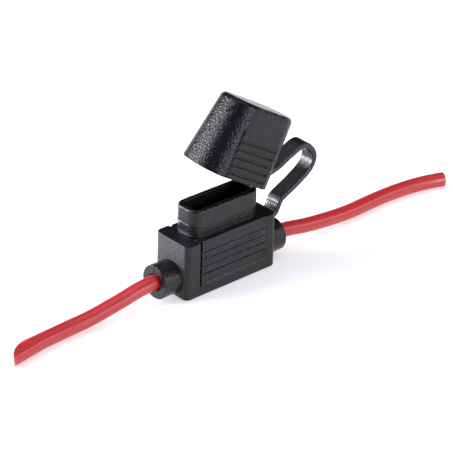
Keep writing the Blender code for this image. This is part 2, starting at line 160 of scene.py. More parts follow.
def solid_from(sections, name, material):
    """Closed mesh object through outlines that have the same number of points, given in millimetres."""
    shape = bmesh.new()
    rings = [[shape.verts.new(Vector(point) * MM) for point in section] for section in sections]
    for lower, upper in zip(rings, rings[1:]):
        for i in range(len(lower)):
            j = (i + 1) % len(lower)
            shape.faces.new((lower[i], lower[j], upper[j], upper[i]))
    shape.faces.new(list(reversed(rings[0])))
    shape.faces.new(rings[-1])
    bmesh.ops.recalc_face_normals(shape, faces=shape.faces)
    return object_from(shape, name, material)


def rounded_outline(length, width, corner, height, steps=14):
    """Level outline in the XY plane with round corners, anticlockwise."""
    points = []
    for turn, (along, across) in enumerate(((1, 1), (-1, 1), (-1, -1), (1, -1))):
        for step in range(steps + 1):
            angle = math.radians(90 * (turn + step / steps))
            x = along * (length / 2 - corner) + corner * math.cos(angle)
            y = across * (width / 2 - corner) + corner * math.sin(angle)
            points.append((x, y, height))
    return points


def moved(sections, x=0.0, y=0.0):
    """The same outlines, slid along the holder and across it."""
    return [[(px + x, py + y, pz) for px, py, pz in section] for section in sections]


def ring(x, radius, height):
    """Circle round the leads' axis, at a place along X."""
    turns = [math.tau * side / RING_SIDES for side in range(RING_SIDES)]
    return [(x, radius * math.cos(a), height + radius * math.sin(a)) for a in turns]


def combine(piece, tool, operation):
    """Join a tool to a piece, or cut it away, and throw the tool away. Its faces keep its material."""
    step = piece.modifiers.new(operation, "BOOLEAN")
    step.operation = operation
    step.solver = "EXACT"
    step.material_mode = "TRANSFER"
    step.object = tool
    bpy.context.view_layer.update()
    evaluated = piece.evaluated_get(bpy.context.evaluated_depsgraph_get())
    result = bpy.data.meshes.new_from_object(evaluated)
    piece.modifiers.clear()
    old = piece.data
    piece.data = result
    bpy.data.meshes.remove(old)
    bpy.data.objects.remove(tool)


def finish_moulding(piece, sharp):
    """Smooth shading that keeps flat faces flat, and edges sharp from an angle in degrees."""
    piece.data.shade_smooth()
    piece.data.set_sharp_from_angle(angle=math.radians(sharp))
    even = piece.modifiers.new("even normals", "WEIGHTED_NORMAL")
    even.keep_sharp = True
    even.weight = 100


def smooth_route(points, spacing):
    """Points about a spacing apart, in millimetres, on a smooth curve through a route."""
    knots = [Vector(point) for point in points]
    knots = [2 * knots[0] - knots[1], *knots, 2 * knots[-1] - knots[-2]]
    route = [knots[1]]
    for before, start, end, after in zip(knots, knots[1:], knots[2:], knots[3:]):
        count = max(1, round((end - start).length / spacing))
        for step in range(1, count + 1):
            t = step / count
            doubled = (
                2 * start
                + (end - before) * t
                + (2 * before - 5 * start + 4 * end - after) * t**2
                + (3 * start - before - 3 * end + after) * t**3
            )
            route.append(0.5 * doubled)
    return route


print("a rounded outline has", len(rounded_outline(30.0, 12.2, 1.6, 0.0)), "points")

# %% [markdown]
# ## Red PVC insulation
#
# Automotive cable is copper strands in soft PVC, squeezed through a die as it runs. That leaves a smooth,
# softly glossy skin with faint lines along it. It could be painted as plain red, but real PVC lets a little
# light in, so a touch of subsurface scattering keeps its shaded side warm. Soft PVC bends light by about
# 1.53, and the roughness was matched to the width of the highlight.

# %% PVC insulation
PVC_RED = "#bf2f30"
PVC_RED_DEEP = "#ac282b"
DIE_LINE_SPACING = 0.35  # real die lines are closer than a pixel, so these are drawn coarser
DIE_LINE_DEPTH = 0.05
DIE_LINE_STRETCH = (0.06, 1.0, 1.0)
SKIN_RIPPLE = 1.6
RIPPLE_DEPTH = 0.1


def pvc_insulation():
    """Red skin with a slow ripple in its colour and relief, and fine lines along the lead."""
    material, tree, output = new_material("extruded red PVC")
    place = add_node(tree, "ShaderNodeTexCoord")
    ripple = add_node(
        tree,
        "ShaderNodeTexNoise",
        inputs={"Vector": place.outputs["Object"], "Scale": 1 / (SKIN_RIPPLE * MM), "Detail": 2.0},
    )
    stretched = add_node(
        tree,
        "ShaderNodeMapping",
        inputs={"Vector": place.outputs["Object"], "Scale": DIE_LINE_STRETCH},
    )
    scale = 1 / (DIE_LINE_SPACING * MM)
    die_lines = add_node(
        tree,
        "ShaderNodeTexNoise",
        inputs={"Vector": stretched.outputs["Vector"], "Scale": scale, "Detail": 1.0},
    )
    colour = add_node(
        tree,
        "ShaderNodeMix",
        {"data_type": "RGBA"},
        {"Factor": ripple.outputs["Fac"], "A": linear(PVC_RED_DEEP), "B": linear(PVC_RED)},
    )
    relief = add_node(
        tree,
        "ShaderNodeBump",
        inputs={"Height": die_lines.outputs["Fac"], "Strength": 0.12, "Distance": DIE_LINE_DEPTH * MM},
    )
    uneven = add_node(
        tree,
        "ShaderNodeBump",
        inputs={
            "Height": ripple.outputs["Fac"],
            "Strength": 0.25,
            "Distance": RIPPLE_DEPTH * MM,
            "Normal": relief.outputs["Normal"],
        },
    )
    skin = add_node(
        tree,
        "ShaderNodeBsdfPrincipled",
        inputs={
            "Base Color": colour.outputs["Result"],
            "Roughness": 0.33,
            "IOR": 1.53,
            "Subsurface Weight": 0.12,
            "Subsurface Radius": (1.0, 0.25, 0.2),
            "Subsurface Scale": 0.5 * MM,
            "Normal": uneven.outputs["Normal"],
        },
    )
    tree.links.new(skin.outputs["BSDF"], output.inputs["Surface"])
    return material


insulation = pvc_insulation()
print("leads wear", insulation.name)

# %% [markdown]
# ## Bare copper and tinned brass
#
# Where a lead was cut, the strands of its core show as a bundle of bright copper ends. The terminals are
# brass sheet, tin plated so that they don't corrode, which gives them a soft, milky gleam. A metal's colour
# is in its reflection, with no paint underneath. An even roughness would look like chrome, so patches of
# tarnish or bloom make some places duller than others.

# %% Copper and tin
COPPER = "#d98d5f"
TIN = "#c9c6bd"
TARNISH_SIZE = 0.4
BLOOM_SIZE = 0.8


def patchy_metal(name, colour, patch, detail, bright, dull):
    """Bare metal whose roughness runs from bright to dull in patches of a size in millimetres."""
    material, tree, output = new_material(name)
    place = add_node(tree, "ShaderNodeTexCoord")
    patches = add_node(
        tree,
        "ShaderNodeTexNoise",
        inputs={"Vector": place.outputs["Object"], "Scale": 1 / (patch * MM), "Detail": detail},
    )
    dullness = add_node(
        tree,
        "ShaderNodeMapRange",
        inputs={"Value": patches.outputs["Fac"], "To Min": bright, "To Max": dull},
    )
    metal = add_node(
        tree,
        "ShaderNodeBsdfPrincipled",
        inputs={"Base Color": linear(colour), "Metallic": 1.0, "Roughness": dullness.outputs["Result"]},
    )
    tree.links.new(metal.outputs["BSDF"], output.inputs["Surface"])
    return material


copper = patchy_metal("bare copper strands", COPPER, TARNISH_SIZE, detail=3.0, bright=0.22, dull=0.45)
tin = patchy_metal("tin-plated brass", TIN, BLOOM_SIZE, detail=4.0, bright=0.25, dull=0.45)
print("metals:", copper.name, "and", tin.name)

# %% [markdown]
# ## Leads
#
# Each lead comes out of its boss, droops to the bench and lies there. It could be a curve with a bevel, but
# its cut end is easier on a mesh: rings are set along the route and skinned. The left one was snipped at a
# slant that faces away from the photo, so from there it ends in a rounded nose. The ends of nineteen copper
# strands sit a little below each cut.

# %% Routes of the leads
LEAD_RADIUS = 1.95
LEAD_HEIGHT = 5.1
LEAD_START = 13.425
LEAD_REST = 1.96
BOSS_END = 20.2
LEFT_ROUTE = (
    (-LEAD_START, 0.0, LEAD_HEIGHT),
    (-17.0, 0.0, LEAD_HEIGHT),
    (-20.5, 0.05, LEAD_HEIGHT),
    (-25.0, 0.25, 4.6),
    (-29.5, 0.3, 3.75),
    (-34.5, 0.3, 3.0),
    (-40.0, 0.3, 2.3),
    (-46.0, 0.4, LEAD_REST),
    (-53.0, 0.0, LEAD_REST),
    (-59.0, -0.5, LEAD_REST),
    (-63.2, -1.35, LEAD_REST),
    (-66.0, -2.1, LEAD_REST),
)
RIGHT_ROUTE = (
    (LEAD_START, 0.0, LEAD_HEIGHT),
    (17.0, 0.0, LEAD_HEIGHT),
    (20.5, 0.0, 5.05),
    (25.0, 0.0, 4.6),
    (29.5, 0.0, 3.75),
    (34.0, 0.0, 3.1),
    (38.5, 0.0, 2.65),
    (43.0, 0.1, 2.2),
    (48.0, 0.2, LEAD_REST),
    (54.5, 0.45, LEAD_REST),
    (61.0, 0.6, LEAD_REST),
    (67.0, 0.3, LEAD_REST),
    (72.0, -0.3, LEAD_REST),
    (76.5, -1.3, LEAD_REST),
    (80.8, -2.7, LEAD_REST),
)
LEFT_CUT = Vector((-0.60, 0.80, -0.05))
RIGHT_CUT = Vector((0.93, -0.36, 0.0))
print("the leads end at", LEFT_ROUTE[-1], "and", RIGHT_ROUTE[-1])

# %% Insulation with a cut end
LEAD_SIDES = 48
LEAD_STEP = 0.8
LEAD_SHARP = 35.0
CORE_RADIUS = 1.2
CORE_RECESS = 0.25
CORE_GAP = 0.02
CUT_EDGE = 0.06
TIP_ROUNDING = 0.5


def tube_ring(route, i, radius, sides=LEAD_SIDES):
    """Circle square to the route at one of its points."""
    ahead = route[min(i + 1, len(route) - 1)] - route[max(i - 1, 0)]
    side = ahead.cross(Vector((0, 0, 1))).normalized()
    over = side.cross(ahead).normalized()
    turns = [math.tau * k / sides for k in range(sides)]
    return [route[i] + side * radius * math.cos(a) + over * radius * math.sin(a) for a in turns]


def slanted_end(circle, middle, along, cut, reach):
    """Circle slid along the lead until it lies on the cut, which curves round towards its tip."""
    slides = [(middle - point).dot(cut) / along.dot(cut) / reach for point in circle]
    return [
        point + along * reach * (1 - TIP_ROUNDING * (1 - slide) ** 2) for point, slide in zip(circle, slides)
    ]


def make_lead(name, points, cut):
    """Insulation with a cut end whose furthest point is the route's end."""
    route = smooth_route(points, LEAD_STEP)
    along = (route[-1] - route[-2]).normalized()
    reach = LEAD_RADIUS * math.sqrt(1 - along.dot(cut) ** 2) / abs(along.dot(cut))
    middle = route[-1] - along * reach
    kept = [p for p in route if (middle - p).dot(along) > reach]
    sections = [tube_ring(kept, i, LEAD_RADIUS) for i in range(len(kept))]
    last = len(route) - 1
    for radius in (LEAD_RADIUS, LEAD_RADIUS - CUT_EDGE, CORE_RADIUS + CORE_GAP):
        circle = [point - along * reach for point in tube_ring(route, last, radius)]
        sections.append(slanted_end(circle, middle, along, cut, reach))
    sections.append([point - along * CORE_RECESS for point in sections[-1]])
    lead = solid_from(sections, name, insulation)
    finish_moulding(lead, LEAD_SHARP)
    length = sum((b - a).length for a, b in zip(route, route[1:]))
    return lead, route, length, along, middle, reach


print("each ring of a lead has", LEAD_SIDES, "sides")

# %% Strand ends
STRAND_RADIUS = CORE_RADIUS / 5
STRAND_RINGS = ((1, 0.0), (6, 2 * STRAND_RADIUS), (12, 3.9 * STRAND_RADIUS))
STRAND_SIDES = 12
STRAND_TAPER = 0.8
# Shares of the core's recess: how far below the cut a strand's middle is, and how long the strand is.
STRAND_SINK, STRAND_LENGTH = 0.5, 0.9


def make_strands(name, face, along, cut, reach):
    """Nineteen strand ends packed in the core: one, then rings of six and twelve."""
    side = along.cross(Vector((0, 0, 1))).normalized()
    over = side.cross(along).normalized()
    turn = along.to_track_quat("Z", "Y").to_matrix().to_4x4()
    shape = bmesh.new()
    for count, distance in STRAND_RINGS:
        for k in range(count):
            angle = math.tau * k / count
            middle = face + side * distance * math.cos(angle) + over * distance * math.sin(angle)
            middle = slanted_end([middle], face, along, cut, reach)[0] - along * CORE_RECESS * STRAND_SINK
            bmesh.ops.create_cone(
                shape,
                cap_ends=True,
                segments=STRAND_SIDES,
                radius1=STRAND_RADIUS * MM,
                radius2=STRAND_RADIUS * STRAND_TAPER * MM,
                depth=CORE_RECESS * STRAND_LENGTH * MM,
                matrix=Matrix.Translation(middle * MM) @ turn,
            )
    strands = object_from(shape, name, copper)
    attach(strands, "holder")
    return strands


for name, side, points, cut in (("left", -1, LEFT_ROUTE, LEFT_CUT), ("right", 1, RIGHT_ROUTE, RIGHT_CUT)):
    lead, route, length, along, face, reach = make_lead(f"insulation_{name}", points, cut)
    strands = make_strands(f"strand_ends_{name}", face, along, cut, reach)
    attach(lead, "holder")
    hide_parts(f"lead_{name}")
    print(lead.name, "is", round(length, 1), "mm long")

# %% [markdown]
# ## Black moulded nylon
#
# The moulding came out of a steel tool whose walls were eroded by sparks. Its skin is a field of tiny pits
# and bumps that breaks each reflection into specks. Roughness alone would give a smooth, cloudy sheen, so a
# fine noise in the bump makes the specks, and a rounded-edge normal gives every arris the small radius that
# a tool leaves. Nylon bends light by about 1.53.
#
# The walls of the tool don't all have the same finish, so one function makes five. The neck, the bosses and
# the grips are spark-eroded. The block's two end faces are eroded coarser and look paler where light grazes
# them. Its long faces, its top and the insides are satin, the cap is finely eroded, and the strap sat
# against a polished wall.

# %% Nylon
NYLON_BLACK = "#121214"
GRAIN_SIZE = 0.5  # real spark pits are far finer than a pixel, so these are drawn coarser
GRAIN_DEPTH = 0.2
ARRIS_RADIUS = 0.1
SHEEN_SPREAD = 0.05


def moulded_nylon(name, grain, roughness, shine=0.3):
    """Nylon whose grain is the strength of its pits, and whose shine is how much it reflects."""
    material, tree, output = new_material(name)
    place = add_node(tree, "ShaderNodeTexCoord")
    pits = add_node(
        tree,
        "ShaderNodeTexNoise",
        inputs={"Vector": place.outputs["Object"], "Scale": 1 / (GRAIN_SIZE * MM), "Detail": 2.0},
    )
    arris = add_node(tree, "ShaderNodeBevel", {"samples": 4}, {"Radius": ARRIS_RADIUS * MM})
    sparks = add_node(
        tree,
        "ShaderNodeBump",
        inputs={
            "Height": pits.outputs["Fac"],
            "Strength": grain,
            "Distance": GRAIN_DEPTH * MM,
            "Normal": arris.outputs["Normal"],
        },
    )
    smoothest, dullest = roughness - SHEEN_SPREAD, roughness + SHEEN_SPREAD
    sheen = add_node(
        tree,
        "ShaderNodeMapRange",
        inputs={"Value": pits.outputs["Fac"], "To Min": smoothest, "To Max": dullest},
    )
    skin = add_node(
        tree,
        "ShaderNodeBsdfPrincipled",
        inputs={
            "Base Color": linear(NYLON_BLACK),
            "Roughness": sheen.outputs["Result"],
            "IOR": 1.53,
            "Specular IOR Level": shine,
            "Normal": sparks.outputs["Normal"],
        },
    )
    tree.links.new(skin.outputs["BSDF"], output.inputs["Surface"])
    return material


nylon = moulded_nylon("spark-eroded black nylon", grain=1.0, roughness=0.2)
coarse_nylon = moulded_nylon("coarse-eroded black nylon", grain=1.0, roughness=0.65, shine=0.8)
smooth_nylon = moulded_nylon("satin black nylon", grain=0.15, roughness=0.37)
cap_nylon = moulded_nylon("finely eroded black nylon", grain=1.0, roughness=0.2, shine=0.22)
strap_nylon = moulded_nylon("polished black nylon", grain=0.35, roughness=0.26, shine=0.42)
for finish in (nylon, coarse_nylon, smooth_nylon, cap_nylon, strap_nylon):
    print("nylon finish:", finish.name)

# %% [markdown]
# ## Housing: the block
#
# One moulding holds everything: a block with rounded corners, the neck that stands on it, and two bosses.
# The block tapers a little at its ends so that it leaves the tool. A cube with a bevel would have the same
# radius on every edge, while a loft can have a soft base edge, round corners and a fine top edge.

# %% Block
BODY_LENGTH, BODY_WIDTH, BODY_HEIGHT = 30.0, 12.2, 15.2
BODY_DRAFT = 0.2
BODY_CORNER = 1.6
CORNER_SHRINK = 0.9
BASE_EDGE, BASE_EDGE_STEPS = 0.8, 6
TOP_EDGE, TOP_EDGE_STEPS = 0.15, 3
END_FACE_LOOK = 0.95


def body_sections():
    """Block with a rounded base edge, a fine top edge and drawn-in ends."""
    profile = []
    for step in range(BASE_EDGE_STEPS + 1):
        angle = math.radians(90 * step / BASE_EDGE_STEPS)
        profile.append((BASE_EDGE * (1 - math.cos(angle)), BASE_EDGE * (1 - math.sin(angle))))
    for step in range(TOP_EDGE_STEPS + 1):
        angle = math.radians(90 * step / TOP_EDGE_STEPS)
        height = BODY_HEIGHT - TOP_EDGE * (1 - math.sin(angle))
        profile.append((height, TOP_EDGE * (1 - math.cos(angle))))
    sections = []
    for height, inset in profile:
        draft = BODY_DRAFT * height / BODY_HEIGHT
        length = BODY_LENGTH - 2 * (draft + inset)
        width = BODY_WIDTH - 2 * inset
        sections.append(rounded_outline(length, width, BODY_CORNER - inset * CORNER_SHRINK, height))
    return sections


housing = solid_from(body_sections(), "housing_shell", smooth_nylon)
housing.data.materials.append(coarse_nylon)
for face in housing.data.polygons:
    if abs(face.normal.x) > END_FACE_LOOK:
        face.material_index = 1
print("block has", len(housing.data.polygons), "faces")

# %% [markdown]
# ## Housing: the neck
#
# The neck stands on a low plinth and has a bead round it that the cap snaps over. Its rim is rounded, and
# the tool left a small nub beside it. The bead could be a ring of its own, but as a swell in the outlines
# it has the same skin as the neck and no seam.

# %% Neck
NECK_LENGTH, NECK_WIDTH, NECK_HEIGHT = 22.0, 8.6, 7.4
NECK_CORNER = 3.0
# Heights above the block, and how far the outline is drawn in there.
PLINTH = ((-1.0, 0.0), (0.5, 0.0), (0.62, 0.06), (0.7, 0.3))
# Heights from the bead's crest, and how far the outline is drawn in there.
BEAD_HEIGHT = 3.1
BEAD = ((-0.3, 0.25), (-0.12, 0.05), (0.0, 0.0), (0.12, 0.05), (0.25, 0.1))
RIM_EDGE, RIM_INSET = 0.6, 0.15
RIM_TURNS = range(0, 91, 15)
NUB_PLACE, NUB_RADIUS = (-10.57, -4.12, 15.2), 0.3
DOME_STEPS, DOME_SIDES = 8, 12


def neck_sections():
    """Neck from inside the block, over its plinth and bead, to the rim."""
    top = BODY_HEIGHT + NECK_HEIGHT
    bead = BODY_HEIGHT + BEAD_HEIGHT
    profile = [(BODY_HEIGHT + rise, inset) for rise, inset in PLINTH]
    profile += [(bead + rise, inset) for rise, inset in BEAD]
    for angle in RIM_TURNS:
        turn = math.radians(angle)
        height = top - RIM_EDGE * (1 - math.sin(turn))
        profile.append((height, RIM_INSET + RIM_EDGE * (1 - math.cos(turn))))
    return [
        rounded_outline(NECK_LENGTH - 2 * inset, NECK_WIDTH - 2 * inset, NECK_CORNER - inset, height)
        for height, inset in profile
    ]


def dome(middle, radius):
    """Small dome left by the tool, as rings round the vertical."""
    x, y, z = middle
    turns = [math.tau * k / DOME_SIDES for k in range(DOME_SIDES)]
    sections = []
    for step in range(1, DOME_STEPS):
        angle = math.radians(-90 + 180 * step / DOME_STEPS)
        out, height = radius * math.cos(angle), z + radius * math.sin(angle)
        sections.append([(x + out * math.cos(a), y + out * math.sin(a), height) for a in turns])
    return sections


combine(housing, solid_from(neck_sections(), "neck", nylon), "UNION")
combine(housing, solid_from(dome(NUB_PLACE, NUB_RADIUS), "nub", smooth_nylon), "UNION")
print("with its neck the housing has", len(housing.data.polygons), "faces")

# %% [markdown]
# ## Housing: bosses and holes
#
# A round boss at each end carries a lead. Inside, a pocket takes the body of the fuse, two chambers take
# the terminals, and a flared hole lets each lead in. A thin seam on each boss shows where two walls of the
# tool met. Holes could be faces that are left out of a shell, but cutting real solids out of the block
# keeps it closed, as a moulding is.

# %% Bosses and holes
BOSS_START, BOSS_RADIUS, BOSS_EDGE = 8.0, 4.45, 0.35
# Points of the boss's rounded edge, as shares of that edge: how far back, and how far in.
BOSS_ROUNDING = ((1, 0), (0.5, 0.13), (0.13, 0.5), (0, 1))
POCKET_LENGTH, POCKET_WIDTH, POCKET_DEPTH, POCKET_CORNER = 19.2, 5.5, 5.6, 1.1
POCKET_EDGE, POCKET_SHIFT, POCKET_STEPS = 0.25, 0.2, 6
POCKET_ROUNDING, POCKET_OVERLAP = 0.3, 0.5
CHAMBER_PITCH, CHAMBER_LENGTH, CHAMBER_WIDTH, CHAMBER_FOOT = 13.2, 7.0, 4.6, 2.4
CHAMBER_CORNER, CHAMBER_STEPS = 0.3, 3
TOOL_OVERLAP = 1.0
HOLE_START, HOLE_RADIUS, HOLE_LAND, HOLE_FLARE = 7.0, 2.25, 0.15, 1.15
SEAM_FOOT, SEAM_HEAD, SEAM_ACROSS = 7.2, 10.0, 0.15
SEAM_WIDTH, SEAM_DEPTH, SEAM_CORNER = 0.22, 0.2, 0.05

for side in (-1, 1):
    boss = [ring(side * BOSS_START, BOSS_RADIUS, LEAD_HEIGHT)]
    for back_share, in_share in BOSS_ROUNDING:
        x = BOSS_END - BOSS_EDGE * back_share
        boss.append(ring(side * x, BOSS_RADIUS - BOSS_EDGE * in_share, LEAD_HEIGHT))
    combine(housing, solid_from(boss, "boss", nylon), "UNION")

neck_top = BODY_HEIGHT + NECK_HEIGHT
pocket = []
for height, flare in (
    (neck_top - POCKET_DEPTH, 0.0),
    (neck_top - POCKET_EDGE, 0.0),
    (neck_top - POCKET_EDGE * POCKET_ROUNDING, POCKET_EDGE * POCKET_ROUNDING),
    (neck_top, POCKET_EDGE),
    (neck_top + POCKET_OVERLAP, POCKET_EDGE),
):
    length, width = POCKET_LENGTH + 2 * flare, POCKET_WIDTH + 2 * flare
    pocket.append(rounded_outline(length, width, POCKET_CORNER + flare, height, POCKET_STEPS))
combine(housing, solid_from(moved(pocket, x=POCKET_SHIFT), "pocket", smooth_nylon), "DIFFERENCE")

for side in (-1, 1):
    chamber = [
        rounded_outline(CHAMBER_LENGTH, CHAMBER_WIDTH, CHAMBER_CORNER, height, CHAMBER_STEPS)
        for height in (CHAMBER_FOOT, neck_top - POCKET_DEPTH + TOOL_OVERLAP)
    ]
    chamber = moved(chamber, x=side * CHAMBER_PITCH / 2)
    combine(housing, solid_from(chamber, "chamber", smooth_nylon), "DIFFERENCE")
    hole = [
        ring(side * HOLE_START, HOLE_RADIUS, LEAD_HEIGHT),
        ring(side * (BOSS_END - HOLE_LAND), HOLE_RADIUS, LEAD_HEIGHT),
        ring(side * (BOSS_END + TOOL_OVERLAP), HOLE_RADIUS + HOLE_FLARE, LEAD_HEIGHT),
    ]
    combine(housing, solid_from(hole, "hole", smooth_nylon), "DIFFERENCE")
    seam = [
        rounded_outline(2 * SEAM_DEPTH, SEAM_WIDTH, SEAM_CORNER, height, steps=1)
        for height in (SEAM_FOOT, SEAM_HEAD)
    ]
    seam = moved(seam, x=side * BOSS_END, y=SEAM_ACROSS)
    combine(housing, solid_from(seam, "seam", smooth_nylon), "DIFFERENCE")
print("with its holes the housing has", len(housing.data.polygons), "faces")

# %% [markdown]
# ## Housing: finger grips
#
# Each long face has saw-toothed ribs let into it for the fingers. They could be a bump pattern, but they
# are deep enough to change the outline, so they are cut. The tool that cuts them is a stack of sections
# along the block: a plain channel, then the teeth, whose grooves run in from the left and fade into the
# face at the right.

# %% Grips of the housing
GROOVE_DEPTH, GROOVE_HEIGHT, TOOTH_DEPTH = 0.85, 0.45, 0.45
LIP_DEPTH, LIP_HEIGHT, LIP_BACK = 0.05, 0.25, 0.17
LIP_EDGE, TOOTH_EDGE = 0.03, 0.04
GRIP_START, GRIP_END, GRIP_CHANNEL, GRIP_FADE = -10.7, 11.8, 0.9, 1.5
GRIP_FOOT, GRIP_LAND, GRIP_PITCH, GRIP_LIPS = 2.95, 3.3, 2.03, 4
GRIP_CORNER, FOOT_SLOPE, FOOT_DEPTH = 0.9, 0.6, 0.36
GRIP_PROUD = 0.5
# Distances past the first tooth's wall, and the share of their depth that the grooves have there.
GROOVE_RUN_IN = ((0.02, 0), (0.4, 0.2), (2.0, 1))
FADE_STEPS, LEAST_FADE = 8, 0.03
PIP_PLACE, PIP_RADIUS = (-8.5, -5.95, 10.55), 0.22
MOULDING_SHARP = 18.0


def teeth(first, pitch, count, top):
    """Saw teeth as heights and depths: a groove, the lip over it, then a face that slopes back inwards."""
    points = []
    for tooth in range(count):
        lip = first + tooth * pitch
        end = lip + pitch - GROOVE_HEIGHT if tooth < count - 1 else top
        points += [(lip - GROOVE_HEIGHT, GROOVE_DEPTH), (lip, GROOVE_DEPTH), (lip + LIP_EDGE, LIP_DEPTH)]
        points += [(lip + LIP_HEIGHT, LIP_BACK), (end - TOOTH_EDGE, TOOTH_DEPTH)]
    return points


def body_grip(side):
    """Tool for one face: a channel at the left end, then teeth that fade into the face at the right end."""
    face = side * BODY_WIDTH / 2
    over = BODY_HEIGHT + TOOL_OVERLAP
    foot = GRIP_FOOT + GRIP_LAND - GROOVE_HEIGHT
    saw = teeth(GRIP_FOOT + GRIP_LAND, GRIP_PITCH, GRIP_LIPS, over)

    def section(x, rise=1.0, groove=1.0, fade=1.0, lift=0.0):
        points = [(GRIP_FOOT + lift, -GRIP_PROUD), (GRIP_FOOT + lift, 0.0)]
        points += [(GRIP_FOOT + FOOT_SLOPE + lift, FOOT_DEPTH), (foot - TOOTH_EDGE, FOOT_DEPTH)]
        points += [*saw, (over, -GRIP_PROUD)]
        tool = []
        for height, depth in points:
            if depth == GROOVE_DEPTH:
                depth = TOOTH_DEPTH + (GROOVE_DEPTH - TOOTH_DEPTH) * groove
            if depth > 0:
                depth = (GROOVE_DEPTH - (GROOVE_DEPTH - depth) * rise) * fade
            tool.append((x, face - side * depth, height))
        return tool

    tooth = GRIP_START + GRIP_CHANNEL
    sections = [section(GRIP_START, rise=0), section(tooth, rise=0)]
    sections += [section(tooth + past, groove=groove) for past, groove in GROOVE_RUN_IN]
    for step in range(FADE_STEPS + 1):
        reach = GRIP_FADE * (1 - step / FADE_STEPS)
        turn = max(0.0, 1 - reach / GRIP_CORNER)
        lift = GRIP_CORNER * (1 - math.sqrt(1 - turn**2))
        sections.append(section(GRIP_END - reach, fade=max(LEAST_FADE, reach / GRIP_FADE), lift=lift))
    return sections


for side in (-1, 1):
    combine(housing, solid_from(body_grip(side), "grip", nylon), "DIFFERENCE")
combine(housing, solid_from(dome(PIP_PLACE, PIP_RADIUS), "pip", smooth_nylon), "UNION")
finish_moulding(housing, MOULDING_SHARP)
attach(housing, "holder")
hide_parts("housing")
print("housing has", len(housing.data.polygons), "faces")

# %% [markdown]
# ## Cap
#
# The cap is a deep, thick-walled cup with fully rounded ends. It could be drawn where it stands open, but
# then no size in it would lie along an axis. So it is drawn closed on the neck, where its sizes are easy to
# name, and every outline is swung about the hinge line to the pose of the photo.

# %% Outside and inside of the cap
HINGE = Vector((24.6, 0.0, 17.9))
HINGE_AXIS = Vector(frame["joints"][0]["axis"])
OPEN_ANGLE = -math.radians(frame["joints"][0]["range_deg"][0])
SWING = Matrix.Rotation(OPEN_ANGLE, 3, HINGE_AXIS)
CAP_RIM, CAP_HEIGHT = 15.5, 18.2
CAP_LENGTH, CAP_WIDTH, CAP_CORNER = 24.6, 14.6, 6.2
CAP_DRAFT, CAP_END_DRAFT, CAP_CORNER_DRAFT = 1.3, 1.45, 0.6
CAP_SHIFT, CAP_LEAN = -0.45, 0.32
CAP_TOP_EDGE, CAP_TOP_FALL, CAP_TOP_STEPS = 1.2, 0.045, 8
CAP_RIM_EDGE, CAP_RIM_STEPS = 0.15, 3
CAP_CORNER_STEPS, CAVITY_CORNER_STEPS = 24, 20
CAVITY_LENGTH, CAVITY_WIDTH, CAVITY_CORNER = 23.0, 10.2, 4.0
CAVITY_DEPTH, CAVITY_DRAFT, CAVITY_SHIFT = 16.6, 0.8, -0.25
CAVITY_EDGE, CAVITY_EDGE_STEPS = 0.5, 4
CAVITY_MOUTH, CAVITY_TAPERED, CAVITY_SHRINK = 0.05, 0.97, 0.6


def swung(sections):
    """Outlines drawn with the cap closed, turned about the hinge to where it stands open."""
    return [[HINGE + SWING @ (Vector(point) - HINGE) for point in section] for section in sections]


def cap_sections():
    """Outside of the cap, from its rim to its rounded top, which falls a little towards the back."""
    profile = []
    for step in range(CAP_RIM_STEPS + 1):
        angle = math.radians(90 * step / CAP_RIM_STEPS)
        profile.append((CAP_RIM_EDGE * (1 - math.cos(angle)), CAP_RIM_EDGE * (1 - math.sin(angle))))
    for step in range(CAP_TOP_STEPS + 1):
        angle = math.radians(90 * step / CAP_TOP_STEPS)
        rise = CAP_HEIGHT - CAP_TOP_EDGE * (1 - math.sin(angle))
        profile.append((rise, CAP_TOP_EDGE * (1 - math.cos(angle))))
    sections = []
    for rise, inset in profile:
        share = rise / CAP_HEIGHT
        length = CAP_LENGTH - 2 * (CAP_END_DRAFT * share + inset)
        width = CAP_WIDTH - 2 * (CAP_DRAFT * share + inset)
        corner = CAP_CORNER - CAP_CORNER_DRAFT * share - inset
        middle = CAP_SHIFT + CAP_LEAN * share
        fall = CAP_TOP_FALL if rise > CAP_RIM_EDGE else 0.0
        outline = rounded_outline(length, width, corner, CAP_RIM + rise, CAP_CORNER_STEPS)
        sections.append([(middle + x, y, z - fall * (y - CAP_WIDTH / 2 + CAP_DRAFT)) for x, y, z in outline])
    return sections


def cavity_sections():
    """Inside of the cap, a little rounded at its end."""
    straight = CAVITY_DEPTH - CAVITY_EDGE
    profile = [(-TOOL_OVERLAP, -CAVITY_MOUTH), (straight, CAVITY_DRAFT * CAVITY_TAPERED)]
    for step in range(1, CAVITY_EDGE_STEPS + 1):
        angle = math.radians(90 * step / CAVITY_EDGE_STEPS)
        rise = CAVITY_DEPTH - CAVITY_EDGE * (1 - math.sin(angle))
        profile.append((rise, CAVITY_DRAFT + CAVITY_EDGE * (1 - math.cos(angle))))
    sections = []
    for rise, inset in profile:
        length, width = CAVITY_LENGTH - 2 * inset, CAVITY_WIDTH - 2 * inset
        corner = CAVITY_CORNER - inset * CAVITY_SHRINK
        sections.append(rounded_outline(length, width, corner, CAP_RIM + rise, CAVITY_CORNER_STEPS))
    return moved(sections, x=CAVITY_SHIFT)


print("cap opens by", round(math.degrees(OPEN_ANGLE), 1), "degrees")

# %% Grips and mark of the cap
CAP_GRIP_START, CAP_GRIP_END, CAP_GRIP_CHANNEL, CAP_GRIP_FADE = -7.85, 7.4, 0.5, 1.2
CAP_GRIP_LIP, CAP_GRIP_PITCH, CAP_GRIP_COUNT = 9.3, 2.03, 5
CAP_GRIP_TOP, CAP_GRIP_CLOSE, CAP_GRIP_PROUD = 12.2, 0.05, 3.5
# Distances past the first tooth's wall, and the share of its height that each tooth has there.
CAP_GRIP_RUN_IN = ((0.02, 0.8), (0.5, 1))
